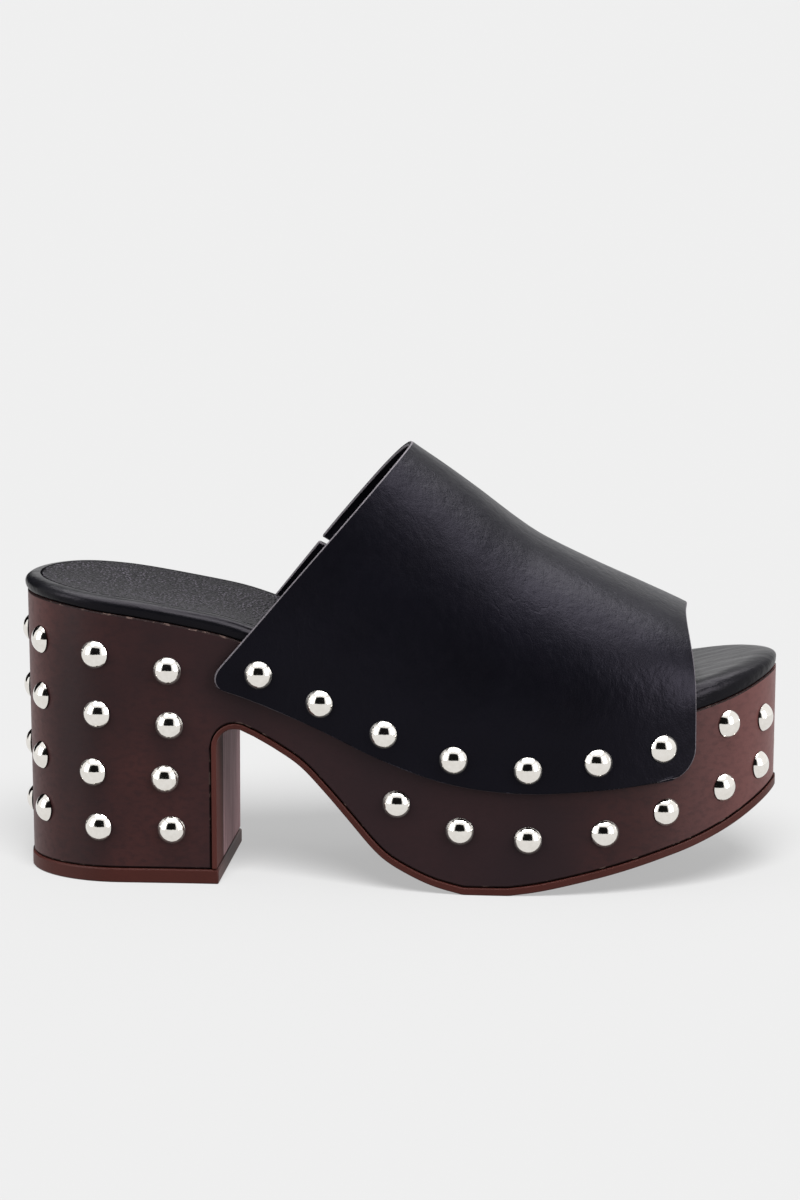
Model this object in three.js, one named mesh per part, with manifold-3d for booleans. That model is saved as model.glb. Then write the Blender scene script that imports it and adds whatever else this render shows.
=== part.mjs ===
// Platform mule sandal, right shoe, millimetres.
// +X points to the toe, +Y to the medial side, +Z up. The floor is z = 0.
// The origin is on the floor, at the centre of the round of the heel.

import * as THREE from 'three';
import { mergeVertices } from 'three/addons/utils/BufferGeometryUtils.js';
import Module from 'manifold-3d';

// Driving dimensions of the whole shoe
const length = 245;              // heel back to toe tip, along the platform's top
const heelWidth = 66.6;          // width of the round heel, and twice its radius
const ballWidth = 86.3;          // lateral ball to medial ball
const heelHeight = 92;           // platform's top at the back of the heel
const ballHeight = 51.5;         // platform's top at the ball
const instepHeight = 140.6;      // top of the upper's back edge
const toeSpring = 28;            // outsole's lowest edge at the toe tip
const clearance = 0.3;           // between pieces that are glued or nailed together

// Platform and heel
const wallDraft = 1.2;           // how far the walls lean in from the heel's top to the floor
const breastAt = 65.6;           // heel back to the finished breast of the heel
const heelLiftThickness = 4.7;
const heelLiftLip = 0.5;         // how far the lift stands out past the heel and its breast

// Outsole sheet
const outsoleThickness = 2.4;
const breastSheetThickness = 1.6;
const outsoleLip = 0.6;
const archCornerRadius = 6.2;    // between the breast and the arch
const archHeight = 51.5;         // outsole's underside at the top of the arch

// Footbed and sock
const footbedThickness = 8.6;    // under the toes, where it is thickest
const rollWidth = 4.1;           // width of the footbed's rolled edge at the heel
const toeRollWidth = 7;          // and at the toe tip
const rollProud = 0.8;           // how far the roll stands out past the wall at the heel's back
const footbedDish = 2;           // how far the middle lies under the rim
const footbedTilt = 1.1;         // the medial rim lies this much higher than the lateral one
const sockThickness = 1;
const sockInset = 4.6;           // from the wall to the edge of the sock, which lies in a recess
const sockLength = 150;

// Upper
const upperThickness = 2;
const upperLap = 17.6;           // how far the upper hangs down over the platform's wall
const frontLap = 20;             // and at its front corners
const upperCorner = 7.5;         // round of the lap's lower corners
const ridgeShift = 2;            // the instep's ridge lies this far to the medial side
const slitLength = 20;
const slitMouth = 2;

// Studs
const studDiameter = 9;
const studHeight = 2.5;
const heelStudPitch = 23.8;      // round the heel, from column to column
const heelStudShift = 2.3;       // the back column's way past the middle, to the medial side
const heelStudTopDrop = 14.2;    // top row under the platform's top
const heelStudRows = 4;

const heelRadius = heelWidth / 2;
const lateral = -1;
const medial = 1;

// Half widths of the sides: share 0 is the heel's half width, share 1 the ball's.
// at is the share of the shoe's length from the heel's back.
const sides = {
  [lateral]: {
    ballShare: 0.479,            // of the ball width
    toeStart: 0.673,
    rows: [
      { at: 0.136, widening: 0 },
      { at: 0.25, widening: -0.04 },
      { at: 0.34, widening: 0.05 },
      { at: 0.43, widening: 0.46 },
      { at: 0.53, widening: 0.85 },
      { at: 0.61, widening: 0.99 },
      { at: 0.673, widening: 1 },
    ],
  },
  [medial]: {
    ballShare: 0.521,
    toeStart: 0.796,
    rows: [
      { at: 0.136, widening: 0 },
      { at: 0.25, widening: -0.1 },
      { at: 0.34, widening: -0.12 },
      { at: 0.43, widening: 0.07 },
      { at: 0.53, widening: 0.44 },
      { at: 0.63, widening: 0.79 },
      { at: 0.72, widening: 0.96 },
      { at: 0.796, widening: 1 },
    ],
  },
};
const ballAt = 0.68;             // station of the ball, as a share of the length
const toeTipShare = 0.139;       // toe tip's offset to the medial side, as a share of the ball width

// Platform's top seen from the side: drop 0 is the heel's height, drop 1 the ball's
const topLine = [
  { at: -0.05, drop: -0.015 },
  { at: 0.05, drop: 0.025 },
  { at: 0.11, drop: 0.07 },
  { at: 0.17, drop: 0.122 },
  { at: 0.25, drop: 0.21 },
  { at: 0.29, drop: 0.27 },
  { at: 0.35, drop: 0.4 },
  { at: 0.41, drop: 0.545 },
  { at: 0.49, drop: 0.76 },
  { at: 0.58, drop: 0.935 },
  { at: 0.68, drop: 1 },
  { at: 0.77, drop: 0.955 },
  { at: 0.86, drop: 0.865 },
  { at: 0.91, drop: 0.8 },
  { at: 0.955, drop: 0.72 },
  { at: 1, drop: 0.605 },
  { at: 1.03, drop: 0.52 },
];

// Outsole's underside from the arch to the ball, as shares of the heel's height.
// Between its last row and the rocker's first row the outsole stands flat on the floor.
const archLine = [
  { at: 0.318, rise: 0.535 },
  { at: 0.347, rise: 0.492 },
  { at: 0.38, rise: 0.434 },
  { at: 0.411, rise: 0.351 },
  { at: 0.443, rise: 0.255 },
  { at: 0.474, rise: 0.16 },
  { at: 0.494, rise: 0.112 },
  { at: 0.524, rise: 0.066 },
  { at: 0.557, rise: 0.028 },
  { at: 0.596, rise: 0 },
];

// Outsole's underside from the ball to the toe, as shares of the toe spring
const rockerLine = [
  { at: 0.657, rise: 0 },
  { at: 0.694, rise: 0.05 },
  { at: 0.739, rise: 0.135 },
  { at: 0.8, rise: 0.265 },
  { at: 0.857, rise: 0.41 },
  { at: 0.902, rise: 0.54 },
  { at: 0.951, rise: 0.735 },
  { at: 1, rise: 1 },
  { at: 1.03, rise: 1.2 },
];

// Top of the upper's outside, along the ridge: share 1 is the instep's height over the ball's top
const ridgeLine = [
  { at: 0.2, rise: 1.66 },
  { at: 0.4, rise: 1.23 },
  { at: 0.515, rise: 1 },
  { at: 0.557, rise: 0.92 },
  { at: 0.6, rise: 0.833 },
  { at: 0.653, rise: 0.72 },
  { at: 0.686, rise: 0.659 },
  { at: 0.749, rise: 0.57 },
  { at: 0.813, rise: 0.487 },
  { at: 0.877, rise: 0.402 },
  { at: 0.92, rise: 0.335 },
];

// Footbed's thickness and the width of its roll, from none of the toe's value to all of it
const footbedRows = [
  { at: 0, thickness: 0.6, roll: 0 },
  { at: 0.2, thickness: 0.63, roll: 0 },
  { at: 0.33, thickness: 0.7, roll: 0 },
  { at: 0.65, thickness: 0.86, roll: 0 },
  { at: 0.86, thickness: 1, roll: 0.4 },
  { at: 0.94, thickness: 0.97, roll: 0.7 },
  { at: 1, thickness: 0.66, roll: 1 },
];

// Fullness of the upper's cross-section: 2 is an ellipse, more is squarer
const fullness = [
  { at: 0.25, power: 2.1 },
  { at: 0.5, power: 2.1 },
  { at: 0.75, power: 2.25 },
  { at: 0.92, power: 2.4 },
];

// Edges of the upper from the side, as shares of the length
const backEdge = { footAt: 0.252, topAt: 0.515 };
const frontEdge = { at: 0.895, ridgeBehind: 4.6, medialBehind: 9, bow: 2.4 };
const backFlare = 1.3;           // the medial back edge leans back this far, half-way up
const slitHeightShare = 0.53;    // of the back edge's height, from its foot

// Studs along the upper's lap, the same on both sides; drop is the way down from the platform's top
const lapStuds = [
  { at: 0.326, drop: 8.2 },
  { at: 0.408, drop: 8.9 },
  { at: 0.493, drop: 8.8 },
  { at: 0.585, drop: 9.4 },
  { at: 0.682, drop: 9.9 },
  { at: 0.772, drop: 9.4 },
  { at: 0.855, drop: 9.1 },
];

// Studs round the toe: along is the way from the toe tip along the wall, toward the medial side
const toeStuds = [
  { name: 'upper_1', along: -34.5, drop: 8.6 },
  { name: 'upper_2', along: -15.5, drop: 13.5 },
  { name: 'upper_3', along: 13, drop: 8.6 },
  { name: 'upper_4', along: 33, drop: 7.2 },
  { name: 'lower_1', along: -36, drop: 29.1 },
  { name: 'lower_2', along: -18, drop: 28.4 },
  { name: 'lower_3', along: 12, drop: 26.5 },
];

// Feet of the heel's columns above the floor, from the lateral side round to the medial side
const heelColumnFeet = [18.5, 18.6, 22.3, 20.3, 22.3, 18.6, 18.5];

// The heel's studs are nailed by eye: each slips a little ahead along the wall and down from its even
// place. Columns run from the breast to the back, the same on both sides, and rows from the top down.
const even = { ahead: 0, down: 0 };
const heelStudSlips = [
  [{ ahead: -0.2, down: 1.3 }, { ahead: 0.3, down: 1.6 }, { ahead: -1.3, down: 1.6 }, { ahead: 0.8, down: 0.8 }],
  [{ ahead: -0.3, down: 0 }, { ahead: 0.2, down: 0.8 }, { ahead: -1.5, down: 1.2 }, { ahead: 0.3, down: 0.5 }],
  [{ ahead: 0, down: -0.4 }, { ahead: 0.2, down: -0.1 }, { ahead: -1, down: 1.5 }, { ahead: 0.3, down: 0.6 }],
  Array(heelStudRows).fill(even),
];

// Studs along the platform's lower edge on the lateral side
const lowerStuds = [
  { at: 0.508, drop: 30.5 },
  { at: 0.592, drop: 32.7 },
  { at: 0.682, drop: 33.2 },
  { at: 0.783, drop: 33.4 },
  { at: 0.863, drop: 30.7 },
];

// Steps of the meshes
const heelSteps = 8;
const sideSteps = 16;
const toeSteps = 10;
const topSteps = 44;
const undersideSteps = 15;
const rollSteps = 4;
const upperColumns = 26;
const archSteps = 20;
const cornerSteps = 3;

const stationX = (at) => at * length - heelRadius;
const shareAt = (x) => (x + heelRadius) / length;
const lerp = THREE.MathUtils.lerp;

// A smooth curve through a table's rows: cubic pieces with the same slope on both sides of a row
function along(rows, column, at) {
  const last = rows.length - 2;
  let i = 0;
  while (i < last && at > rows[i + 1].at) i += 1;
  const slope = (k) => {
    const a = rows[Math.max(k - 1, 0)];
    const b = rows[Math.min(k + 1, rows.length - 1)];
    return (b[column] - a[column]) / (b.at - a.at);
  };
  const [p, q] = [rows[i], rows[i + 1]];
  const step = q.at - p.at;
  const t = (at - p.at) / step;
  const rise = q[column] - p[column];
  const start = slope(i) * step;
  const end = slope(i + 1) * step;
  return p[column] + t * (start + t * (3 * rise - 2 * start - end + t * (start + end - 2 * rise)));
}

// Plan of the platform: a half circle at the heel, smooth sides, a quarter ellipse on each side of the toe tip
const toeX = length - heelRadius;
const toeTipY = toeTipShare * ballWidth;

function halfWidth(side, x) {
  const { ballShare, toeStart, rows } = sides[side];
  const ballHalf = ballShare * ballWidth;
  if (x <= 0) return Math.sqrt(Math.max(heelRadius ** 2 - x ** 2, 0));
  const startX = stationX(toeStart);
  if (x < startX) return lerp(heelRadius, ballHalf, along(rows, 'widening', shareAt(x)));
  const t = Math.min((x - startX) / (toeX - startX), 1);
  return side * toeTipY + (ballHalf - side * toeTipY) * Math.sqrt(1 - t * t);
}

function wallNormal(side, x) {
  if (x <= 0) return new THREE.Vector2(x, side * halfWidth(side, x)).normalize();
  const startX = stationX(sides[side].toeStart);
  if (x < startX) {
    const probe = 0.5;
    const slope = (halfWidth(side, x + probe) - halfWidth(side, x - probe)) / (2 * probe);
    return new THREE.Vector2(-slope, side).normalize();
  }
  const long = toeX - startX;
  const wide = sides[side].ballShare * ballWidth - side * toeTipY;
  const y = halfWidth(side, x) * side - toeTipY;
  return new THREE.Vector2((x - startX) / long ** 2, y / wide ** 2).normalize();
}

// A point of the plan's outline, moved out by an offset along the wall's normal
function wallPoint(side, x, offset = 0) {
  const normal = wallNormal(side, x);
  return new THREE.Vector2(x, side * halfWidth(side, x)).addScaledVector(normal, offset);
}

// How far the leaning wall stands in from the plan at a height
const wallInset = (z) => wallDraft * (1 - z / heelHeight);

// Stations from the heel's back to the toe tip, close together at both ends
const stations = [];
for (let i = 0; i < heelSteps; i += 1) stations.push(-heelRadius * Math.cos((i / heelSteps) * Math.PI / 2));
const roundStart = stationX(sides[lateral].toeStart);
for (let i = 0; i < sideSteps; i += 1) stations.push((i / sideSteps) * roundStart);
for (let i = 0; i <= toeSteps; i += 1) {
  stations.push(lerp(roundStart, toeX, Math.sin((i / toeSteps) * Math.PI / 2)));
}

// The outline as a loop of points, out along the lateral side and back along the medial side
function outlineRing(offsetAt, heightAt) {
  const last = stations.length - 1;
  const ring = [];
  const add = (side, x) => {
    const p = wallPoint(side, x, offsetAt(x));
    ring.push(new THREE.Vector3(p.x, p.y, heightAt(p.x, p.y)));
  };
  for (let i = 0; i <= last; i += 1) add(lateral, stations[i]);
  for (let i = last - 1; i > 0; i -= 1) add(medial, stations[i]);
  return ring;
}

// A ring drawn in toward the line midway between its two sides
function innerRing(ring, share, heightAt) {
  return ring.map((p, i) => {
    const partner = ring[(ring.length - i) % ring.length];
    const x = lerp(p.x, (p.x + partner.x) / 2, share);
    const y = lerp(p.y, (p.y + partner.y) / 2, share);
    return new THREE.Vector3(x, y, heightAt(x, y, share));
  });
}

// A mesh from points and triangles, with shared points merged and flat triangles left out
function closedGeometry(points, triangles) {
  const flat = [];
  triangles.forEach((corners) => {
    const [a, b, c] = corners.map((k) => points[k]);
    const tiny = 1e-4;
    if (a.distanceTo(b) > tiny && b.distanceTo(c) > tiny && c.distanceTo(a) > tiny) {
      flat.push(...a.toArray(), ...b.toArray(), ...c.toArray());
    }
  });
  const geometry = new THREE.BufferGeometry();
  geometry.setAttribute('position', new THREE.Float32BufferAttribute(flat, 3));
  return mergeVertices(geometry, 1e-4);
}

// A body skinned over rings that run up its outside; its first and last rings are closed to a line
function ringBody(rings) {
  const count = rings[0].length;
  const triangles = [];
  for (let r = 0; r < rings.length - 1; r += 1) {
    for (let i = 0; i < count; i += 1) {
      const j = (i + 1) % count;
      const [a, b] = [r * count + i, r * count + j];
      const [c, d] = [b + count, a + count];
      triangles.push([a, b, c], [a, c, d]);
    }
  }
  return closedGeometry(rings.flat(), triangles);
}

// Cutting shapes reach this far past the pieces that they cut
const margin = 5;
const halfSpan = ballWidth;

const wasm = await Module();
wasm.setup();

function toSolid(geometry) {
  const bare = geometry.clone();
  bare.deleteAttribute('normal');
  bare.deleteAttribute('uv');
  const merged = mergeVertices(bare, 1e-4);
  return new wasm.Manifold(new wasm.Mesh({
    numProp: 3,
    vertProperties: new Float32Array(merged.attributes.position.array),
    triVerts: new Uint32Array(merged.index.array),
  }));
}

function toGeometry(solid) {
  const mesh = solid.getMesh();
  const geometry = new THREE.BufferGeometry();
  geometry.setAttribute('position', new THREE.BufferAttribute(mesh.vertProperties, 3));
  geometry.setIndex(new THREE.BufferAttribute(mesh.triVerts, 1));
  return geometry;
}

// A side view outline carried straight across the shoe between two widths
function acrossBody(outline, fromY, toY) {
  const geometry = new THREE.ExtrudeGeometry(new THREE.Shape(outline), {
    depth: toY - fromY,
    bevelEnabled: false,
    steps: 1,
  });
  geometry.rotateX(Math.PI / 2);
  geometry.translate(0, toY, 0);
  return toSolid(geometry);
}

// Side view of the sole
const platformTop = (x) => lerp(heelHeight, ballHeight, along(topLine, 'drop', shareAt(x)));
const lowAt = (x) => (x < stationX(rockerLine[0].at)
  ? heelHeight * along(archLine, 'rise', shareAt(x))
  : toeSpring * along(rockerLine, 'rise', shareAt(x)));

// Underside of the outsole: up the breast, round the corner, down the arch and out to the toe
function underside() {
  const breastX = breastAt - heelRadius;
  const archX = stationX(archLine[0].at);
  const corner = new THREE.Vector2(breastX + archCornerRadius, archHeight - archCornerRadius);
  const line = [new THREE.Vector2(breastX, heelLiftThickness + clearance)];
  const cornerArc = [180, 160, 140, 120, 100, 80];   // degrees
  cornerArc.forEach((degrees) => {
    const angle = THREE.MathUtils.degToRad(degrees);
    line.push(new THREE.Vector2(Math.cos(angle), Math.sin(angle)).multiplyScalar(archCornerRadius).add(corner));
  });
  const follow = (fromX, toX) => {
    for (let i = 0; i <= undersideSteps; i += 1) {
      const x = lerp(fromX, toX, i / undersideSteps);
      line.push(new THREE.Vector2(x, lowAt(x)));
    }
  };
  follow(archX, stationX(archLine[archLine.length - 1].at));
  follow(stationX(rockerLine[0].at), toeX + margin);
  return line;
}

// A line moved up and back by an offset that grows from the breast to the ball
function sheetTop(line, extra) {
  const ballX = stationX(rockerLine[0].at);
  return line.map((p, i) => {
    const before = line[Math.max(i - 1, 0)];
    const after = line[Math.min(i + 1, line.length - 1)];
    const ahead = after.clone().sub(before).normalize();
    const grown = THREE.MathUtils.clamp((p.x - line[0].x) / (ballX - line[0].x), 0, 1);
    const offset = lerp(breastSheetThickness, outsoleThickness, grown) + extra;
    return new THREE.Vector2(p.x - ahead.y * offset, p.y + ahead.x * offset);
  });
}

const sheetUnder = underside();

// Blank of the sole: the plan carried up, leaning with the walls
function soleBlank(offset, low, high) {
  const at = (z) => outlineRing(() => offset - wallInset(z), () => z);
  const [bottom, top] = [at(low), at(high)];
  return toSolid(ringBody([
    innerRing(bottom, 1, () => low), bottom, top, innerRing(top, 1, () => high),
  ]));
}

function soleBody() {
  const [backX, frontX] = [-heelRadius - margin, toeX + margin];
  const floor = heelLiftThickness + clearance;
  const under = sheetTop(sheetUnder, clearance);
  under[0].y = floor;
  const end = under[under.length - 1];
  const outline = [new THREE.Vector2(backX, floor), ...under, new THREE.Vector2(frontX, end.y)];
  for (let i = 0; i <= topSteps; i += 1) {
    const x = lerp(frontX, backX, i / topSteps);
    outline.push(new THREE.Vector2(x, platformTop(x)));
  }
  return soleBlank(0, 0, heelHeight + margin).intersect(acrossBody(outline, -halfSpan, halfSpan));
}

function outsoleSheet() {
  const top = sheetTop(sheetUnder, 0);
  top[0].y = sheetUnder[0].y;
  const outline = [...sheetUnder, ...top.reverse()];
  const blank = soleBlank(outsoleLip, -margin, heelHeight);
  return blank.intersect(acrossBody(outline, -halfSpan, halfSpan));
}

function heelLift() {
  const blank = soleBlank(heelLiftLip, -margin, heelLiftThickness + margin);
  const frontX = breastAt - heelRadius + heelLiftLip;
  const backX = -heelRadius - margin;
  return blank.intersect(acrossBody([
    new THREE.Vector2(backX, 0),
    new THREE.Vector2(frontX, 0),
    new THREE.Vector2(frontX, heelLiftThickness),
    new THREE.Vector2(backX, heelLiftThickness),
  ], -halfSpan, halfSpan));
}

// Footbed: thicker toward the toe, rolled at the edge, with a shallow dish that fades out at heel and toe
const thicknessAt = (x) => footbedThickness * along(footbedRows, 'thickness', shareAt(x));
const rollWidthAt = (x) => lerp(rollWidth, toeRollWidth, along(footbedRows, 'roll', shareAt(x)));
const proudAt = (x) => (x < 0 ? rollProud * (x / heelRadius) ** 2 : 0);

function dish(x, share) {
  const fromMiddle = (x - (toeX - heelRadius) / 2) / (length / 2);
  const ends = Math.max(1 - fromMiddle ** 6, 0);
  return footbedDish * ends * (1 - (1 - share) ** 2);
}

// A ring set in from the top edge of the wall
const insetRing = (insetAt, heightAt) => outlineRing((x) => -insetAt(x) - wallInset(platformTop(x)), heightAt);

const rimTop = (x, y) => platformTop(x) + clearance + thicknessAt(x) + (footbedTilt / ballWidth) * y;

function recessAt(x) {
  const fade = THREE.MathUtils.smoothstep(x, sockLength - heelRadius, sockLength);
  return (sockThickness + clearance) * (1 - fade);
}

const footbedTop = (x, y, share) => rimTop(x, y) - recessAt(x) - dish(x, share);

function footbedBody() {
  const underneath = (x) => platformTop(x) + clearance;
  const bulge = { foot: 0.7, height: 0.45 };   // the roll's foot is set in, its widest line lies this far up
  const bottom = insetRing(() => bulge.foot, underneath);
  const rings = [innerRing(bottom, 1, underneath), bottom];
  for (let i = 0; i <= rollSteps; i += 1) {
    const angle = (i / rollSteps) * Math.PI / 2;
    const height = bulge.height + (1 - bulge.height) * Math.sin(angle);
    const insetAt = (x) => rollWidthAt(x) * (1 - Math.cos(angle)) - proudAt(x) * Math.cos(angle);
    rings.push(insetRing(insetAt, (x, y) => lerp(underneath(x), rimTop(x, y), height)));
  }
  const recessWall = sockInset - clearance;
  rings.push(insetRing((x) => Math.max(rollWidthAt(x), recessWall), (x, y) => footbedTop(x, y, 0)));
  const rim = rings[rings.length - 1];
  [0.25, 0.6, 1].forEach((share) => rings.push(innerRing(rim, share, footbedTop)));
  return ringBody(rings);
}

function sockBody() {
  const onFootbed = (lift) => (x, y, share = 0) => footbedTop(x, y, share) + clearance + lift;
  const edge = insetRing(() => sockInset, onFootbed(0));
  const rim = insetRing(() => sockInset + sockThickness / 3, onFootbed(sockThickness));
  const shares = [0.25, 0.6, 1];
  const rings = [...shares].reverse().map((share) => innerRing(edge, share, onFootbed(0)));
  rings.push(edge, rim, ...shares.map((share) => innerRing(rim, share, onFootbed(sockThickness))));
  const frontX = sockLength - heelRadius;
  const reach = acrossBody([
    new THREE.Vector2(-heelRadius, 0),
    new THREE.Vector2(frontX, 0),
    new THREE.Vector2(frontX, instepHeight),
    new THREE.Vector2(-heelRadius, instepHeight),
  ], -halfSpan, halfSpan);
  return toSolid(ringBody(rings)).intersect(reach);
}

// Inner face of the upper along its ridge
function upperRidge(x) {
  const probe = 1;
  const height = (at) => lerp(ballHeight, instepHeight, along(ridgeLine, 'rise', at));
  const slope = (height(shareAt(x + probe)) - height(shareAt(x - probe))) / (2 * probe);
  return height(shareAt(x)) - upperThickness * Math.hypot(1, slope);
}

const lapAt = (x) => lerp(upperLap, frontLap, THREE.MathUtils.smoothstep(shareAt(x), ballAt, frontEdge.at));

// Slope of the wall's outline in plan
function wallSlope(side, x) {
  const probe = 0.5;
  return side * (halfWidth(side, x + probe) - halfWidth(side, x - probe)) / (2 * probe);
}

// The upper's inner face against the wall, at a station and a height
function lapInside(side, x, z) {
  const p = wallPoint(side, x, clearance - wallInset(z));
  return new THREE.Vector3(x, p.y - (p.x - x) * wallSlope(side, x), z);
}

// Inside of the vamp at a station: a lap down the wall on each side and an arch over the foot
function upperInside(x, row) {
  const top = platformTop(x);
  if (row.lap > 0) return lapInside(row.side, x, top - row.lap * lapAt(x));
  const foot = (side) => lapInside(side, x, top).y;
  const middle = (foot(lateral) + foot(medial)) / 2 + ridgeShift;
  const side = Math.cos(row.angle) > 0 ? lateral : medial;
  const power = 2 / along(fullness, 'power', shareAt(x));
  const outward = Math.abs(Math.cos(row.angle)) ** power;
  const upward = Math.sin(row.angle) ** power;
  return new THREE.Vector3(x, lerp(middle, foot(side), outward), lerp(top, upperRidge(x), upward));
}

const backFoot = new THREE.Vector2(stationX(backEdge.footAt), platformTop(stationX(backEdge.footAt)) - upperLap);
const backTop = new THREE.Vector2(stationX(backEdge.topAt), instepHeight);

// Station where a row of the upper meets the slanted back edge
function backEdgeX(row) {
  const slope = (backTop.y - backFoot.y) / (backTop.x - backFoot.x);
  const over = (x) => upperInside(x, row).z - backFoot.y - slope * (x - backFoot.x);
  let [low, high] = [backFoot.x - upperCorner, backTop.x + upperCorner];
  while (high - low > 1e-6) {
    const middle = (low + high) / 2;
    if (over(middle) > 0) low = middle;
    else high = middle;
  }
  const medialShare = row.angle > Math.PI / 2 ? Math.sin(2 * (row.angle - Math.PI / 2)) : 0;
  return low - backFlare * medialShare;
}

function frontEdgeX(row) {
  const rise = row.lap > 0 ? 0 : Math.sin(row.angle);
  const onLateral = row.lap > 0 ? row.side === lateral : row.angle < Math.PI / 2;
  const atFoot = onLateral ? 0 : frontEdge.medialBehind;
  return stationX(frontEdge.at) - lerp(atFoot, frontEdge.ridgeBehind, rise ** frontEdge.bow);
}

// Rows of the upper from the lateral lower edge, over the foot, to the medial lower edge.
// The lap's corners are rounded by pulling the ends of the lowest rows in.
function upperRows() {
  const lapRows = (side) => {
    const rows = [];
    const cornerShare = upperCorner / upperLap;
    for (let i = 0; i <= cornerSteps; i += 1) {
      const angle = (i / cornerSteps) * Math.PI / 2;
      const lap = 1 - cornerShare * (1 - Math.cos(angle));
      rows.push({ side, lap, pulledIn: upperCorner * (1 - Math.sin(angle)) });
    }
    rows.push({ side, lap: (1 - cornerShare) / 2, pulledIn: 0 });
    return rows;
  };
  const rows = lapRows(lateral);
  for (let i = 0; i <= archSteps; i += 1) rows.push({ angle: (i / archSteps) * Math.PI, lap: 0, pulledIn: 0 });
  return [...rows, ...lapRows(medial).reverse()];
}

function upperBody() {
  const rows = upperRows();
  const inside = rows.map((row) => {
    const [backX, frontX] = [backEdgeX(row) + row.pulledIn, frontEdgeX(row) - row.pulledIn];
    const line = [];
    for (let i = 0; i <= upperColumns; i += 1) line.push(upperInside(lerp(backX, frontX, i / upperColumns), row));
    return line;
  });
  const outside = inside.map((line, r) => line.map((p, i) => {
    const before = inside[Math.max(r - 1, 0)][i];
    const after = inside[Math.min(r + 1, inside.length - 1)][i];
    const behind = line[Math.max(i - 1, 0)];
    const ahead = line[Math.min(i + 1, upperColumns)];
    const normal = ahead.clone().sub(behind).cross(after.clone().sub(before)).normalize();
    return p.clone().addScaledVector(normal, upperThickness);
  }));
  const width = upperColumns + 1;
  const sheet = rows.length * width;
  const points = [...outside.flat(), ...inside.flat()];
  const triangles = [];
  const quad = (a, b, c, d) => triangles.push([a, b, c], [a, c, d]);
  for (let r = 0; r < rows.length - 1; r += 1) {
    for (let i = 0; i < upperColumns; i += 1) {
      const a = r * width + i;
      quad(a, a + 1, a + 1 + width, a + width);
      quad(sheet + a, sheet + a + width, sheet + a + 1 + width, sheet + a + 1);
    }
    const back = r * width;
    const front = back + upperColumns;
    quad(back, back + width, back + width + sheet, back + sheet);
    quad(front, front + sheet, front + width + sheet, front + width);
  }
  for (let i = 0; i < upperColumns; i += 1) {
    const end = (rows.length - 1) * width + i;
    quad(i, i + sheet, i + 1 + sheet, i + 1);
    quad(end, end + 1, end + 1 + sheet, end + sheet);
  }
  const edge = backTop.clone().sub(backFoot);
  const mouth = backFoot.clone().addScaledVector(edge, slitHeightShare);
  edge.normalize();
  const inward = new THREE.Vector2(edge.y, -edge.x);
  const beyond = mouth.clone().addScaledVector(inward, -margin);
  const halfMouth = (slitMouth / 2) * (1 + margin / slitLength);
  const slit = acrossBody([
    beyond.clone().addScaledVector(edge, halfMouth),
    beyond.clone().addScaledVector(edge, -halfMouth),
    mouth.clone().addScaledVector(inward, slitLength),
  ], toeTipY, ballWidth);
  return toSolid(closedGeometry(points, triangles)).subtract(slit);
}

// Studs: a shallow dome with a flat back, its axis along the wall's normal
const studRadius = studDiameter / 2;
const studProfile = [new THREE.Vector2(0, 0)];
const domeSteps = 3;
for (let i = 0; i <= domeSteps; i += 1) {
  const angle = (i / domeSteps) * Math.PI / 2;
  studProfile.push(new THREE.Vector2(studRadius * Math.cos(angle), studHeight * Math.sin(angle)));
}
const studSides = 12;

const colour = (hex) => new THREE.Color(hex);
const finishes = {
  platform: new THREE.MeshStandardMaterial({ color: colour(0x3c2826), roughness: 0.42, metalness: 0 }),
  rubber: new THREE.MeshStandardMaterial({ color: colour(0x5a2c28), roughness: 0.55, metalness: 0 }),
  footbed: new THREE.MeshStandardMaterial({ color: colour(0x1c1d20), roughness: 0.38, metalness: 0 }),
  sock: new THREE.MeshStandardMaterial({ color: colour(0x2a2b2d), roughness: 0.62, metalness: 0 }),
  upper: new THREE.MeshStandardMaterial({ color: colour(0x17171c), roughness: 0.45, metalness: 0 }),
  stud: new THREE.MeshStandardMaterial({ color: colour(0xd8d6d2), roughness: 0.12, metalness: 1 }),
};

const shoe = new THREE.Group();

function addPiece(name, body, finish) {
  const geometry = body.getMesh ? toGeometry(body) : body;
  const mesh = new THREE.Mesh(geometry, finish);
  mesh.name = name;
  shoe.add(mesh);
  return mesh;
}

function addStud(name, side, x, z, seat) {
  const normal = wallNormal(side, x);
  const p = wallPoint(side, x, seat + clearance - wallInset(z));
  const stud = addPiece(name, new THREE.LatheGeometry(studProfile, studSides), finishes.stud);
  stud.position.set(p.x, p.y, z);
  stud.quaternion.setFromUnitVectors(new THREE.Vector3(0, 1, 0), new THREE.Vector3(normal.x, normal.y, 0));
}

// Station on a side at a distance along the wall from the heel's back
function xFromHeelBack(distance) {
  const quarter = heelRadius * Math.PI / 2;
  return distance < quarter ? -heelRadius * Math.cos(distance / heelRadius) : distance - quarter;
}

// Station on a side at a distance along the wall from the toe tip
function xFromToeTip(side, distance) {
  const startX = stationX(sides[side].toeStart);
  const angleStep = 0.01;
  let gone = 0;
  let here = new THREE.Vector2(toeX, toeTipY);
  for (let angle = Math.PI / 2; gone < distance; angle -= angleStep) {
    const x = lerp(startX, toeX, Math.sin(angle));
    const next = new THREE.Vector2(x, side * halfWidth(side, x));
    gone += next.distanceTo(here);
    here = next;
  }
  return here.x;
}

addPiece('sole_body', soleBody(), finishes.platform);
addPiece('outsole', outsoleSheet(), finishes.rubber);
addPiece('heel_lift', heelLift(), finishes.rubber);
addPiece('footbed', footbedBody(), finishes.footbed);
addPiece('sock', sockBody(), finishes.sock);
addPiece('upper', upperBody(), finishes.upper);

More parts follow.
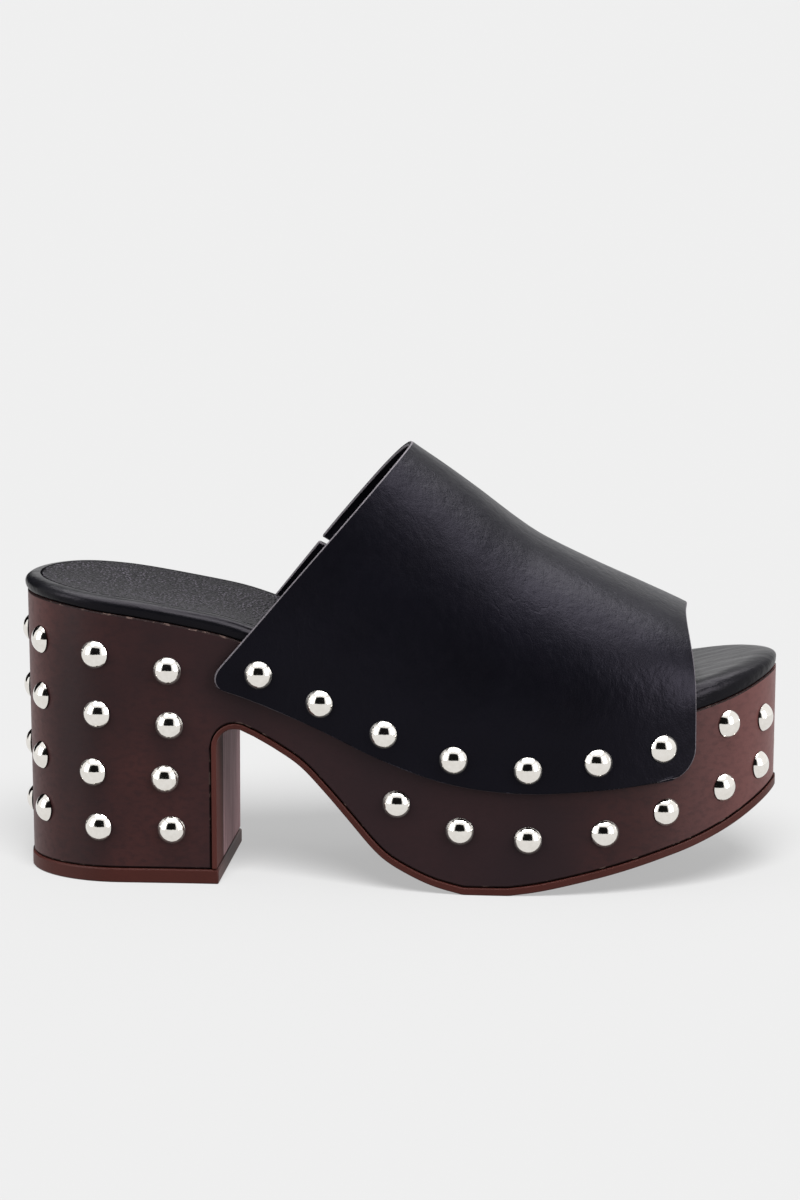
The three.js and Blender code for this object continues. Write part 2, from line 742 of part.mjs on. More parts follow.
heelColumnFeet.forEach((foot, column) => {
  const distance = heelStudShift + (column - 3) * heelStudPitch;
  const side = distance < 0 ? lateral : medial;
  const top = platformTop(xFromHeelBack(Math.abs(distance))) - heelStudTopDrop;
  heelStudSlips[Math.min(column, heelColumnFeet.length - 1 - column)].forEach(({ ahead, down }, row) => {
    const x = xFromHeelBack(Math.abs(distance) + ahead);
    const z = lerp(top, foot, row / (heelStudRows - 1)) - down;
    addStud(`stud_heel_${column + 1}_${row + 1}`, side, x, z, 0);
  });
});

const sideNames = { [lateral]: 'lateral', [medial]: 'medial' };
[lateral, medial].forEach((side) => lapStuds.forEach(({ at, drop }, i) => {
  const x = stationX(at);
  const seat = clearance + upperThickness;
  addStud(`stud_lap_${sideNames[side]}_${i + 1}`, side, x, platformTop(x) - drop, seat);
}));

toeStuds.forEach((stud) => {
  const side = stud.along < 0 ? lateral : medial;
  const x = xFromToeTip(side, Math.abs(stud.along));
  addStud(`stud_toe_${stud.name}`, side, x, platformTop(x) - stud.drop, 0);
});

lowerStuds.forEach((stud, i) => {
  const x = stationX(stud.at);
  addStud(`stud_lower_lateral_${i + 1}`, lateral, x, platformTop(x) - stud.drop, 0);
});

export default shoe;
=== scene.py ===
import math

import bmesh
import bpy
import numpy as np
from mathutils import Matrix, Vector


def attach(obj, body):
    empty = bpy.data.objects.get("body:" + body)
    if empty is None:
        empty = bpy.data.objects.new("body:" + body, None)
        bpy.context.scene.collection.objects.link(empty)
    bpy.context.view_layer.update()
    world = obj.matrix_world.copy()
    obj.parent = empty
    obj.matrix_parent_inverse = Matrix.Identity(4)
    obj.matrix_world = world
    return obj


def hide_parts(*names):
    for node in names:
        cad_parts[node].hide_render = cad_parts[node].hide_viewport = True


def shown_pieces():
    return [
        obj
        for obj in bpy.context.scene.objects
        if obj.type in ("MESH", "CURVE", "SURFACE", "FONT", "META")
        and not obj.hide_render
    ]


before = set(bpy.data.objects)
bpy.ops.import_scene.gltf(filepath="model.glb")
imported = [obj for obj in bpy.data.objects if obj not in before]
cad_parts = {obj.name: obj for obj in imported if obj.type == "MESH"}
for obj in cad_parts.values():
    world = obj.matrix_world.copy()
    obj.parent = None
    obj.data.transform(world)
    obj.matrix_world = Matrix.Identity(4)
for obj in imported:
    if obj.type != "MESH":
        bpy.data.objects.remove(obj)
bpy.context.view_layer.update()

# Platform and heel.
# One light block, round at the heel and swept out to the ball of the foot, under a smooth
# cover that is stained a mottled dark brown. The breast of the heel is cut square.
# Sizes are in millimetres: +X to the toe, +Y to the medial side, +Z up, z = 0 the floor.
LENGTH, HEEL_RADIUS, BALL_WIDTH = 245.0, 33.3, 86.3
HEEL_HEIGHT, BALL_HEIGHT, TOE_SPRING = 92.0, 51.5, 28.0
WALL_DRAFT = 1.2          # how far the walls lean in from the heel's top to the floor
CLEARANCE = 0.3           # between pieces that are glued or nailed together
MM = 0.001                # in metres, which Blender works in
TOE_X = LENGTH - HEEL_RADIUS
TOE_TIP_Y = 0.139 * BALL_WIDTH
LATERAL, MEDIAL = -1, 1

# Each side's half width at the ball, the share of the length where its round toe starts, and how it widens
# on the way: rows of a share of the length and of the growth from the heel's half width to the ball's
SIDES = {
    LATERAL: (0.479 * BALL_WIDTH, 0.673, [
        (0.136, 0), (0.25, -0.04), (0.34, 0.05), (0.43, 0.46), (0.53, 0.85), (0.61, 0.99), (0.673, 1)]),
    MEDIAL: (0.521 * BALL_WIDTH, 0.796, [
        (0.136, 0), (0.25, -0.1), (0.34, -0.12), (0.43, 0.07), (0.53, 0.44), (0.63, 0.79), (0.72, 0.96),
        (0.796, 1)]),
}
# Side view, in rows of a share of the length and of a height: the top on its way from the heel's height to
# the ball's, the arch in the heel's height, and the rocker in the toe spring. Between these two it is flat.
TOP_LINE = [
    (-0.05, -0.015), (0.05, 0.025), (0.11, 0.07), (0.17, 0.122), (0.25, 0.21), (0.29, 0.27), (0.35, 0.4),
    (0.41, 0.545), (0.49, 0.76), (0.58, 0.935), (0.68, 1), (0.77, 0.955), (0.86, 0.865), (0.91, 0.8),
    (0.955, 0.72), (1, 0.605), (1.03, 0.52)]
ARCH_LINE = [
    (0.318, 0.535), (0.347, 0.492), (0.38, 0.434), (0.411, 0.351), (0.443, 0.255), (0.474, 0.16),
    (0.494, 0.112), (0.524, 0.066), (0.557, 0.028), (0.596, 0)]
ROCKER_LINE = [
    (0.657, 0), (0.694, 0.05), (0.739, 0.135), (0.8, 0.265), (0.857, 0.41), (0.902, 0.54),
    (0.951, 0.735), (1, 1), (1.03, 1.2)]
ARCH_START, ARCH_END, ROCKER_START = ARCH_LINE[0][0], ARCH_LINE[-1][0], ROCKER_LINE[0][0]


def station(at):
    """Distance ahead of the heel's centre, from a share of the shoe's length."""
    return at * LENGTH - HEEL_RADIUS


def lerp(a, b, t):
    """The value that lies t of the way from a to b."""
    return a + (b - a) * t


def through(rows, at):
    """Smooth curve through rows of (share, value): a cubic between two rows, which takes at each row the
    slope of the chord between that row's neighbours."""
    x, y = np.array(rows, float).T
    at = np.asarray(at, float)
    order = np.arange(len(x))
    before, after = np.maximum(order - 1, 0), np.minimum(order + 1, len(x) - 1)
    slope = (y[after] - y[before]) / (x[after] - x[before])
    i = np.clip(np.searchsorted(x, at) - 1, 0, len(x) - 2)
    step, rise = x[i + 1] - x[i], y[i + 1] - y[i]
    t = (at - x[i]) / step
    start, end = slope[i] * step, slope[i + 1] * step
    return y[i] + t * (start + t * (3 * rise - 2 * start - end + t * (start + end - 2 * rise)))


def share(x):
    """Share of the shoe's length that lies behind a station."""
    return (x + HEEL_RADIUS) / LENGTH


def half_width(side, x, out=0.0):
    """Distance from the middle line to a side's wall, moved out by out: a half circle at the heel, a smooth
    line to the ball and a quarter ellipse from there to the toe tip."""
    x, out = np.broadcast_arrays(np.asarray(x, float), out)
    ball, toe_start, rows = SIDES[side]
    start = station(toe_start)
    heel = np.sqrt(np.maximum((HEEL_RADIUS + out) ** 2 - np.minimum(x, 0) ** 2, 0))

    def straight(at):
        return lerp(HEEL_RADIUS, ball, through(rows, share(at)))

    middle = straight(x) + out * np.hypot(1, straight(x + 0.5) - straight(x - 0.5))
    t = np.clip((x - start) / (TOE_X + out - start), 0, 1)
    toe = side * TOE_TIP_Y + (ball + out - side * TOE_TIP_Y) * np.sqrt(1 - t * t)
    return np.where(x <= 0, heel, np.where(x < start, middle, toe))


def wall_inset(z):
    """How far the leaning wall stands in from the plan at a height."""
    return WALL_DRAFT * (1 - z / HEEL_HEIGHT)


def platform_top(x):
    """Height of the block's top, from the heel's to the ball's."""
    return lerp(HEEL_HEIGHT, BALL_HEIGHT, through(TOP_LINE, share(x)))


def low_line(x):
    """Height of the outsole's underside past the breast: the arch, a flat spot and the rocker."""
    arch = HEEL_HEIGHT * through(ARCH_LINE, np.minimum(share(x), ARCH_END))
    rocker = TOE_SPRING * through(ROCKER_LINE, np.maximum(share(x), ROCKER_START))
    return np.where(x < station(ARCH_END), arch, rocker)


HEEL_DEPTH, CORNER_RADIUS, ARCH_HEIGHT = 65.6, 6.2, 51.5
LIFT_THICKNESS, BREAST_SHEET, OUTSOLE_SHEET = 4.7, 1.6, 2.4
BREAST_X, BALL_X = HEEL_DEPTH - HEEL_RADIUS, station(ROCKER_START)
BREAST_FOOT_Z = LIFT_THICKNESS + CLEARANCE
CORNER_FROM, CORNER_TO = math.radians(172), math.radians(76)
BREAST_POINTS, CORNER_POINTS, ARCH_POINTS, PAST_TOE = 14, 13, 150, 6.0
CORNER = BREAST_POINTS - 1     # the point of the side view where the breast meets the corner


def underside():
    """Side view of the outsole's underside as x and z: straight up the breast, round the corner on an arc,
    down the arch and out past the toe."""
    breast = np.linspace(BREAST_FOOT_Z, ARCH_HEIGHT - CORNER_RADIUS, BREAST_POINTS)
    turn = np.linspace(CORNER_FROM, CORNER_TO, CORNER_POINTS)
    arch = np.linspace(station(ARCH_START), TOE_X + PAST_TOE, ARCH_POINTS)
    x = np.concatenate([
        np.full(BREAST_POINTS, BREAST_X), BREAST_X + CORNER_RADIUS * (1 + np.cos(turn)), arch])
    z = np.concatenate([breast, ARCH_HEIGHT - CORNER_RADIUS * (1 - np.sin(turn)), low_line(arch)])
    return x, z


def thickened(extra):
    """The underside moved up and back along its normal by the sheet's thickness and extra."""
    x, z = underside()
    ahead = np.stack([np.gradient(x), np.gradient(z)])
    ahead /= np.hypot(*ahead)
    offset = lerp(BREAST_SHEET, OUTSOLE_SHEET, np.clip((x - BREAST_X) / (BALL_X - BREAST_X), 0, 1)) + extra
    return x - ahead[1] * offset, z + ahead[0] * offset


SOLE_X, SOLE_Z = thickened(CLEARANCE)
SOLE_BREAST = float(SOLE_X[0])

# The outline's stations: a quarter turn of the heel, the side with more of them at the breast, and the
# quarter turn of the toe. Each is a centre, and a reach that grows with the outline's offset.
HEEL_TURN, TOE_TURN = np.linspace(0, np.pi / 2, 33)[:-1], np.linspace(0, np.pi / 2, 61)
HEEL_SIDE_POINTS, CLOSE_RUN, ROUND_TOE_X = 13, 8.5, station(SIDES[LATERAL][1])
SIDE_RUN = np.concatenate([
    np.linspace(0, SOLE_BREAST, HEEL_SIDE_POINTS),
    SOLE_BREAST + CLOSE_RUN * (1 - np.cos(np.linspace(0, np.pi / 2, 13)[1:])),
    np.linspace(SOLE_BREAST + CLOSE_RUN, ROUND_TOE_X, 71)[1:-1]])
CENTRE = np.concatenate([0 * HEEL_TURN, SIDE_RUN, ROUND_TOE_X + 0 * TOE_TURN])
REACH = np.concatenate([HEEL_RADIUS + 0 * HEEL_TURN, 0 * SIDE_RUN, TOE_X - ROUND_TOE_X + 0 * TOE_TURN])
SWING = np.concatenate([-np.cos(HEEL_TURN), 0 * SIDE_RUN, np.sin(TOE_TURN)])
PLAN_X = CENTRE + REACH * SWING


def sides(out, height):
    """Points of the lateral and medial walls at every station of the outline moved out by out."""
    x = CENTRE + (REACH + out) * SWING
    return [np.stack([x, side * half_width(side, x, out), height(x)], -1) for side in (LATERAL, MEDIAL)]


def across(lateral, medial, steps=16):
    """Grid of straight lines from the lateral points to the medial ones."""
    t = np.linspace(0, 1, steps + 1)[:, None, None]
    return lerp(lateral[None], medial[None], t)


def make_mesh(name, patches, sharp=40):
    """Closed mesh from grids of points in millimetres: points that grids share are merged, faces are turned
    out, and edges over an angle in degrees are kept sharp."""
    points, faces, first = [], [], 0
    for grid in patches:
        rows, columns = grid.shape[:2]
        index = first + np.arange(rows * columns).reshape(rows, columns)
        corners = [index[:-1, :-1], index[:-1, 1:], index[1:, 1:], index[1:, :-1]]
        faces.append(np.stack(corners, -1).reshape(-1, 4))
        points.append(grid.reshape(-1, 3))
        first += rows * columns
    mesh = bpy.data.meshes.new(name)
    mesh.from_pydata((np.concatenate(points) * MM).tolist(), [], np.concatenate(faces).tolist())
    work = bmesh.new()
    work.from_mesh(mesh)
    bmesh.ops.remove_doubles(work, verts=work.verts, dist=0.002 * MM)
    bmesh.ops.recalc_face_normals(work, faces=work.faces)
    work.to_mesh(mesh)
    work.free()
    mesh.polygons.foreach_set("use_smooth", np.ones(len(mesh.polygons), bool))
    mesh.set_sharp_from_angle(angle=math.radians(sharp))
    made = bpy.data.objects.new(name, mesh)
    bpy.context.collection.objects.link(made)
    return made


def round_edges(made, width, segments=2, finish=-1):
    """Every edge over 50 degrees rounded by a width in millimetres, in the finish of the faces beside it or
    in the one with the number given."""
    bevel = made.modifiers.new("edges", "BEVEL")
    bevel.width = width * MM
    bevel.segments = segments
    bevel.limit_method = "ANGLE"
    bevel.angle_limit = math.radians(50)
    bevel.material = finish
    bevel.use_clamp_overlap = False


def fit(made, finishes, slot, *nodes):
    """The piece gets its finishes, rides on the shoe and stands for its solids."""
    for finish in finishes:
        made.data.materials.append(finish)
    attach(made, "root")
    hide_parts(*nodes)


def wall_rows(low, high, rows):
    """The two walls from one line of heights up to another, in evenly spaced rows."""
    lateral, medial = [], []
    for t in np.linspace(0, 1, rows + 1):
        out = -wall_inset(lerp(low(PLAN_X), high(PLAN_X), t))
        left, right = sides(out, lambda x: lerp(low(x), high(x), t))
        lateral.append(left)
        medial.append(right)
    return np.array(lateral), np.array(medial)


def block_low(x):
    """Underside of the block above the heel's corner: level over the heel, then the arch and the rocker."""
    return np.where(x <= SOLE_BREAST, SOLE_Z[CORNER], np.interp(x, SOLE_X[CORNER:], SOLE_Z[CORNER:]))


heel_stations = len(HEEL_TURN) + HEEL_SIDE_POINTS
block_walls = wall_rows(block_low, platform_top, rows=24)
heel_walls = wall_rows(lambda x: BREAST_FOOT_Z + 0 * x, lambda x: SOLE_Z[CORNER] + 0 * x, rows=16)
heel_walls = [wall[:, :heel_stations] for wall in heel_walls]
arch_start = heel_stations - 1
platform = make_mesh("platform", [
    *block_walls,
    *heel_walls,
    across(block_walls[0][-1], block_walls[1][-1]),
    across(block_walls[0][0, arch_start:], block_walls[1][0, arch_start:]),
    across(heel_walls[0][0], heel_walls[1][0]),
    across(heel_walls[0][:, -1], heel_walls[1][:, -1])])
round_edges(platform, 0.5, finish=1)


class Value:
    """A shader value that can stand in sums: each operator adds the Math node that works it out."""

    def __init__(self, finish, socket):
        self.finish, self.socket = finish, socket

    def maths(self, operation, a, b):
        return self.finish.node("Math", {"operation": operation}, {0: a, 1: b})

    def __add__(self, other):
        return self.maths("ADD", self, other)

    def __sub__(self, other):
        return self.maths("SUBTRACT", self, other)

    def __rsub__(self, other):
        return self.maths("SUBTRACT", other, self)

    def __mul__(self, other):
        return self.maths("MULTIPLY", self, other)

    def __truediv__(self, other):
        return self.maths("DIVIDE", self, other)

    __radd__, __rmul__ = __add__, __mul__


class Nodes:
    """A node tree: node makes any node, from its settings and the values or links of its sockets."""

    def __init__(self, tree):
        self.tree = tree

    def node(self, kind, settings, inputs, output=0):
        made = self.tree.nodes.new("ShaderNode" + kind)
        for name, setting in settings.items():
            setattr(made, name, setting)
        self.join(made, inputs)
        return Value(self, made.outputs[output])

    def join(self, made, inputs):
        """Links a node's sockets to values, and sets the rest to plain numbers and colours."""
        for name, value in inputs.items():
            if isinstance(value, Value):
                self.tree.links.new(value.socket, made.inputs[name])
            else:
                made.inputs[name].default_value = value

    def band(self, value, low, high):
        """Smooth step from 0 at low to 1 at high."""
        return self.node("MapRange", {"interpolation_type": "SMOOTHSTEP"},
                         {"Value": value, "From Min": low, "From Max": high})

    def blend(self, share, a, b):
        """Colour that lies share of the way from a to b."""
        return self.node("Mix", {"data_type": "RGBA"}, {0: share, 6: a, 7: b}, 2)


class Finish(Nodes):
    """A material, with its pattern read from the piece's own place in the shoe, in metres."""

    def __init__(self, name):
        self.material = bpy.data.materials.new(name)
        self.material.use_nodes = True
        super().__init__(self.material.node_tree)
        self.shader = self.tree.nodes["Principled BSDF"]
        self.place = self.node("TexCoord", {}, {}, "Object")

    def stretched(self, scale):
        """The place with its axes scaled: a pattern is drawn out along those under 1."""
        return self.node("Mapping", {}, {"Vector": self.place, "Scale": scale})

    def noise(self, place, scale, detail=4.0, rough=0.55):
        """Clouds from 0 to 1, with about scale of them to a metre."""
        return self.node("TexNoise", {}, {
            "Vector": place, "Scale": scale, "Detail": detail, "Roughness": rough})

    def pores(self, scale):
        """Fine cells of a hide, 0 at their edges, with about scale of them to a metre."""
        return self.node("TexVoronoi", {"feature": "DISTANCE_TO_EDGE"}, {
            "Vector": self.place, "Scale": scale})

    def bump(self, height, depth, under=None):
        """Relief of a height from 0 to 1, as deep as depth millimetres, on top of a coarser one."""
        inputs = {"Height": height, "Distance": depth * MM, "Strength": 1.0}
        if under:
            inputs["Normal"] = under
        return self.node("Bump", {}, inputs)

    def shade(self, **inputs):
        """Sets or links the shader's sockets, named with an underscore for each space, and gives the
        material."""
        self.join(self.shader, {name.replace("_", " "): value for name, value in inputs.items()})
        return self.material


def rgb(red, green, blue):
    """Linear colour from the usual 0 to 255 values."""
    parts = np.array([red, green, blue]) / 255
    linear = np.where(parts <= 0.04045, parts / 12.92, ((parts + 0.055) / 1.055) ** 2.4)
    return (*linear.tolist(), 1.0)


def stained_cover():
    """Dark brown stain with broad soft clouds that go redder, with painted shade along the shoe's middle and
    a painted sheen round the toe and the heel's back, with a fine grain that the stain settled in."""
    stain = Finish("stained_cover")
    cloud = stain.noise(stain.stretched((1, 1, 0.8)), 26, 3, 0.5)
    grain = stain.noise(stain.stretched((0.6, 0.6, 1)), 620, 4)
    ahead = stain.node("SeparateXYZ", {}, {0: stain.place}, "X")
    # Painted shade darkens the shoe's middle; a painted sheen lightens the toe and the heel's back and fades
    # the grain there.
    painted_middle_shade = stain.band(ahead, 0.0, 0.075) * (1 - stain.band(ahead, 0.125, 0.175))
    painted_end_sheen = stain.band(ahead, 0.165, 0.216) + 0.35 * (1 - stain.band(ahead, -0.031, -0.016))
    colour = stain.blend(stain.band(cloud, 0.34, 0.68), rgb(35, 21, 22), rgb(51, 28, 27))
    colour = stain.blend(0.7 * painted_middle_shade, colour, rgb(26, 18, 22))
    colour = stain.blend(0.85 * painted_end_sheen, colour, rgb(92, 59, 57))
    colour = stain.blend(stain.band(grain, 0.42, 0.7) * (0.45 - 0.3 * painted_end_sheen), colour, rgb(30, 19, 21))
    normal = stain.bump(grain, 0.05, stain.bump(cloud, 0.15))
    return stain.shade(Base_Color=colour, Roughness=0.36 + 0.12 * grain, Normal=normal,
                       Specular_IOR_Level=0.115)


def cut_cover():
    """The cover's cut edge, a dark line round the block with pale flecks where the raw hide shows."""
    cut = Finish("cut_cover")
    fleck = cut.band(cut.noise(cut.place, 330, 3), 0.57, 0.66)
    return cut.shade(Base_Color=cut.blend(fleck, rgb(26, 15, 15), rgb(76, 62, 58)),
                     Roughness=0.6 + 0.2 * fleck, Normal=cut.bump(fleck, 0.1), Specular_IOR_Level=0.1)


fit(platform, [stained_cover(), cut_cover()], "platform", "sole_body")

# Outsole.
# One sheet of reddish rubber that is glued under the sole, from the foot of the heel's breast up
# round the arch and out to the toe. It stands out past the wall by a thin lip.
OUTSOLE_LIP, TIP_RUN = 0.6, 12.0


def outsole_faces():
    """Outer and inner face of the sheet: straight lines across the shoe at every point of the underside,
    which lie closer together on the last run to the tip. Past the arch both faces share their stations."""
    outer_x, outer_z = underside()
    inner_x, inner_z = thickened(0)
    reach = TOE_X + OUTSOLE_LIP - wall_inset(TOE_SPRING)
    past_arch = outer_x > station(ARCH_END)
    inner_z = np.where(past_arch, np.interp(outer_x, inner_x[CORNER:], inner_z[CORNER:]), inner_z)
    inner_x = np.where(past_arch, outer_x, inner_x)
    keep = outer_x < reach - TIP_RUN
    turn = np.linspace(0, np.pi / 2, 24)[1:]
    tip = reach - TIP_RUN * (1 - np.sin(turn))
    faces = []
    for x, z in ((outer_x, outer_z), (inner_x, inner_z)):
        z = np.concatenate([z[keep], np.interp(tip, x[CORNER:], z[CORNER:])])
        x = np.concatenate([x[keep], tip])
        out = OUTSOLE_LIP - wall_inset(z)
        out = np.where(x > reach - TIP_RUN, np.minimum(out, reach - TOE_X), out)
        ends = [np.stack([x, side * half_width(side, x, out), z], -1) for side in (LATERAL, MEDIAL)]
        faces.append(across(*ends, steps=12))
    return faces


outer, inner = outsole_faces()
outsole = make_mesh("outsole_sheet", [
    outer, inner, np.stack([outer[0], inner[0]]), np.stack([outer[-1], inner[-1]]),
    np.stack([outer[:, 0], inner[:, 0]]), np.stack([outer[:, -1], inner[:, -1]])])
round_edges(outsole, 0.35)


def reddish_rubber():
    """Reddish brown rubber with a faint fine grain. On the heel's breast it is buffed to a mauve face with
    an upright grain, up to a thin dark line and a plain strip along the lateral edge. The face's pale
    mauve grey is partly buffed rubber and partly a painted sheen; its upright streaks are painted highlights."""
    rubber = Finish("reddish_rubber")
    cloud = rubber.noise(rubber.place, 70, 3)
    grain = rubber.noise(rubber.place, 1400, 2)
    upright = rubber.noise(rubber.stretched((1, 1, 0.06)), 700, 3)
    ahead, across_shoe, above = (rubber.node("SeparateXYZ", {}, {0: rubber.place}, axis) for axis in "XYZ")
    breast = (1 - rubber.band(ahead, 0.0335, 0.0355)) * (1 - rubber.band(above, 0.046, 0.051)) * (
        rubber.band(above, 0.0048, 0.0052))
    face = breast * rubber.band(across_shoe, -0.0155, -0.0135)
    line = breast * rubber.band(across_shoe, -0.0165, -0.0155) - face
    colour = rubber.blend(cloud, rgb(48, 22, 18), rgb(60, 28, 24))
    colour = rubber.blend(0.4 * breast, colour, rgb(74, 38, 34))
    # Painted sheen: the face's pale mauve grey, partly the buffed rubber; its upright streaks are painted
    # highlights.
    colour = rubber.blend(face * (0.6 + rubber.band(upright, 0.35, 0.7) * 0.4), colour, rgb(154, 122, 126))
    colour = rubber.blend(0.7 * line, colour, rgb(34, 18, 18))
    normal = rubber.bump(grain * (1 - breast), 0.03, rubber.bump(upright * breast, 0.12))
    return rubber.shade(Base_Color=colour, Roughness=0.42 + 0.1 * grain + 0.25 * breast - 0.07 * face,
                        Normal=normal, Specular_IOR_Level=0.1)


rubber = reddish_rubber()
fit(outsole, [rubber], "outsole", "outsole")

# Heel lift.
# A flat piece of the same rubber that is glued and nailed under the heel, a hair wider than the heel.
LIFT_LIP = 0.5


def lift_rows():
    """Walls of the lift at its foot and top: the heel's outline moved out, and cut square at the breast."""
    x = np.concatenate([-(HEEL_RADIUS + LIFT_LIP - WALL_DRAFT) * np.cos(HEEL_TURN),
                        np.linspace(0, BREAST_X + LIFT_LIP, 13)])
    rows = []
    for side in (LATERAL, MEDIAL):
        y = side * half_width(side, x, LIFT_LIP - WALL_DRAFT)
        rows.append(np.stack([np.stack([x, y, z + 0 * x], -1) for z in (0.0, LIFT_THICKNESS)]))
    return rows


left, right = lift_rows()
lift = make_mesh("heel_lift_piece", [
    left, right, across(left[0], right[0]), across(left[1], right[1]), across(left[:, -1], right[:, -1])])
round_edges(lift, 0.5)
fit(lift, [rubber], "outsole", "heel_lift")

# Footbed.
# A firm board wrapped in smooth black leather, rolled over at its edge and thicker toward the toe.
# Its middle is dished, and a shallow recess takes the sock.
FOOTBED_THICKNESS, ROLL_WIDTH, TOE_ROLL_WIDTH, ROLL_PROUD = 8.6, 4.1, 7.0, 0.8
FOOTBED_DISH, FOOTBED_TILT, SOCK_THICKNESS, SOCK_INSET, SOCK_LENGTH = 2.0, 1.1, 1.0, 4.6, 150.0
ROLL_FOOT_INSET, ROLL_WIDEST = 0.7, 0.45
GROOVE_DEPTH, GROOVE_ANGLE, GROOVE_WIDTH = 0.55, math.radians(38), math.radians(11)
# Stations between which the roll's groove starts and ends, and the dish ends
GROOVE_START, GROOVE_END, DISH_END = (-5, 45), (178, 200), (150, 204)
# Rows of a share of the length: the thickness as a share of the most, and the roll's growth to its widest
THICKNESS_ROWS = [(0, 0.6), (0.2, 0.63), (0.33, 0.7), (0.65, 0.86), (0.86, 1), (0.94, 0.97), (1, 0.66)]
ROLL_ROWS = [(0, 0), (0.2, 0), (0.33, 0), (0.65, 0), (0.86, 0.4), (0.94, 0.7), (1, 1)]


def smooth(x, low, high):
    """Smooth step from 0 at low to 1 at high."""
    t = np.clip((x - low) / (high - low), 0, 1)
    return t * t * (3 - 2 * t)


def rim_top(x, y):
    """Height of the roll's top, a little higher on the medial side."""
    thickness = FOOTBED_THICKNESS * through(THICKNESS_ROWS, share(x))
    return platform_top(x) + CLEARANCE + thickness + FOOTBED_TILT / BALL_WIDTH * y


def footbed_top(x, y, toward_middle):
    """Height of the top inside the roll: under the rim by the sock's recess, and by a dish that is deepest
    in the middle and fades out at both ends."""
    recess = (SOCK_THICKNESS + CLEARANCE) * (1 - smooth(x, SOCK_LENGTH - HEEL_RADIUS, SOCK_LENGTH))
    from_middle = (x - (TOE_X - HEEL_RADIUS) / 2) / (LENGTH / 2)
    ends = np.maximum(1 - from_middle ** 6, 0) * (1 - smooth(x, *DISH_END))
    return rim_top(x, y) - recess - FOOTBED_DISH * ends * (1 - (1 - toward_middle) ** 2)


def inset_sides(inset, height):
    """Both walls' points at an inset from the top edge of the platform, at heights from x and y."""
    walls = sides(-inset(PLAN_X) - wall_inset(platform_top(PLAN_X)), lambda x: 0 * x)
    for wall in walls:
        wall[:, 2] = height(wall[:, 0], wall[:, 1])
    return walls


def roll_width(x):
    """Width of the roll, which grows toward the toe."""
    return lerp(ROLL_WIDTH, TOE_ROLL_WIDTH, through(ROLL_ROWS, share(x)))


def footbed_rows():
    """Rows up round the roll: an ellipse from the foot of the roll out to its widest line and over its top,
    with a soft groove along it from the waist nearly to the toe, then down into the recess."""
    rows = []
    for angle in np.linspace(-np.pi / 2, np.pi / 2, 25):
        below = angle < 0
        rise = ROLL_WIDEST + (ROLL_WIDEST if below else 1 - ROLL_WIDEST) * np.sin(angle)
        groove = GROOVE_DEPTH * np.exp(-((angle - GROOVE_ANGLE) / GROOVE_WIDTH) ** 2)

        def inset(x):
            width = ROLL_FOOT_INSET if below else roll_width(x)
            proud = np.where(x < 0, ROLL_PROUD * (x / HEEL_RADIUS) ** 2, 0)
            return width * (1 - np.cos(angle)) - proud * np.cos(angle) + (
                groove * smooth(x, *GROOVE_START) * (1 - smooth(x, *GROOVE_END)))

        rows.append(inset_sides(
            inset, lambda x, y: lerp(platform_top(x) + CLEARANCE, rim_top(x, y), rise)))
    rows.append(inset_sides(lambda x: np.maximum(roll_width(x), SOCK_INSET - CLEARANCE),
                            lambda x, y: footbed_top(x, y, 0)))
    return np.array([row[0] for row in rows]), np.array([row[1] for row in rows])


def inner_field(lateral, medial, height, steps=32):
    """Grid from one rim to the other, at heights from x, y and the share of the way in to the middle."""
    grid = across(lateral, medial, steps)
    toward_middle = (1 - np.abs(np.linspace(-1, 1, steps + 1)))[:, None]
    grid[..., 2] = height(grid[..., 0], grid[..., 1], toward_middle)
    return grid


left, right = footbed_rows()
footbed = make_mesh("footbed_board", [
    left, right, across(left[0], right[0], 32), inner_field(left[-1], right[-1], footbed_top)], sharp=60)


def footbed_leather():
    """Smooth black leather: a fine pore grain over soft wrinkles that run along the shoe."""
    leather = Finish("footbed_leather")
    pores = leather.pores(1100)
    wrinkle = leather.noise(leather.stretched((0.22, 1, 1)), 190, 4)
    colour = leather.blend(wrinkle, rgb(6, 6, 8), rgb(12, 12, 15))
    normal = leather.bump(pores, 0.05, leather.bump(wrinkle, 0.45))
    return leather.shade(Base_Color=colour, Roughness=0.24 + 0.12 * wrinkle, Normal=normal,
                         Specular_IOR_Level=0.083, Specular_Tint=(0.95, 0.87, 1.0, 1))


fit(footbed, [footbed_leather()], "footbed", "footbed")

# Sock.
# A thin leather sock with a pebbled grain, cut a little smaller than the footbed and glued into its recess,
# from the heel to under the upper.
SOCK_EDGE_ROUND, SOCK_EDGE_AT = 0.25, 0.6


def sock_faces():
    """Upper face, edge line and lower face of the sock, each a grid across the recess that follows the
    footbed's top. The upper face is set in a little from the edge line, which rounds the cut."""
    front = SOCK_LENGTH - HEEL_RADIUS
    faces = []
    for at, inset in ((1, SOCK_INSET + SOCK_EDGE_ROUND), (SOCK_EDGE_AT, SOCK_INSET), (0, SOCK_INSET)):
        lift = SOCK_THICKNESS * at
        walls = inset_sides(lambda x: inset + 0 * x, lambda x, y: 0 * x)
        keep = walls[0][:, 0] < front - 1
        last = [np.array([[front, side * half_width(side, front, -inset), 0]]) for side in (LATERAL, MEDIAL)]
        walls = [np.concatenate([wall[keep], end]) for wall, end in zip(walls, last)]
        faces.append(inner_field(*walls, lambda x, y, s: footbed_top(x, y, s) + CLEARANCE + lift))
    return faces


top, edge, bottom = sock_faces()
sock = make_mesh("sock_lining", [
    top, bottom,
    np.stack([top[0], edge[0], bottom[0]]), np.stack([top[-1], edge[-1], bottom[-1]]),
    np.stack([top[:, -1], edge[:, -1], bottom[:, -1]])], sharp=60)


